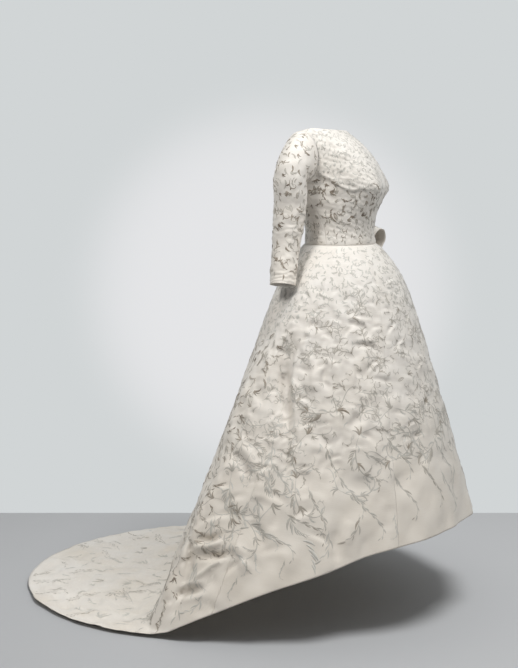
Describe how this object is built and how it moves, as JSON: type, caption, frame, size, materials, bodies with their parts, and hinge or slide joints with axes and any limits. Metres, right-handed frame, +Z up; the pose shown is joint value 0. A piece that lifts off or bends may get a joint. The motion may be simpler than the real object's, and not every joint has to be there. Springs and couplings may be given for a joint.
{
  "type": "long-sleeved wedding gown with a train",
  "caption": "Ivory silk wedding gown with a fitted bodice, long narrow sleeves, a flared gored skirt and a rounded train that lies on the floor, with grey thread work.",
  "frame": {"origin": "between the wearer's shoulders, level with the shoulder seams, where the wearer holds the gown up", "axes": "+Z up, the wearer faces -Y, the train runs back along +Y, and the wearer's left is +X"},
  "size_m": [1.28, 1.5866, 1.5979],
  "materials": {
    "ivory_silk": "slubbed ivory silk with a soft sheen",
    "grey_thread": "silver-grey and taupe silk thread work, satin stitch"
  },
  "bodies": {
    "root": {"bodice_front": "ivory_silk", "bodice_back_left": "ivory_silk", "bodice_back_right": "ivory_silk", "sleeve_left": "ivory_silk", "sleeve_right": "ivory_silk", "skirt_front": "ivory_silk", "skirt_side_front_left": "ivory_silk", "skirt_side_front_right": "ivory_silk", "skirt_side_back_left": "ivory_silk", "skirt_side_back_right": "ivory_silk", "skirt_back_left": "ivory_silk", "skirt_back_right": "ivory_silk", "back_placket": "ivory_silk"}
  },
  "joints": []
}
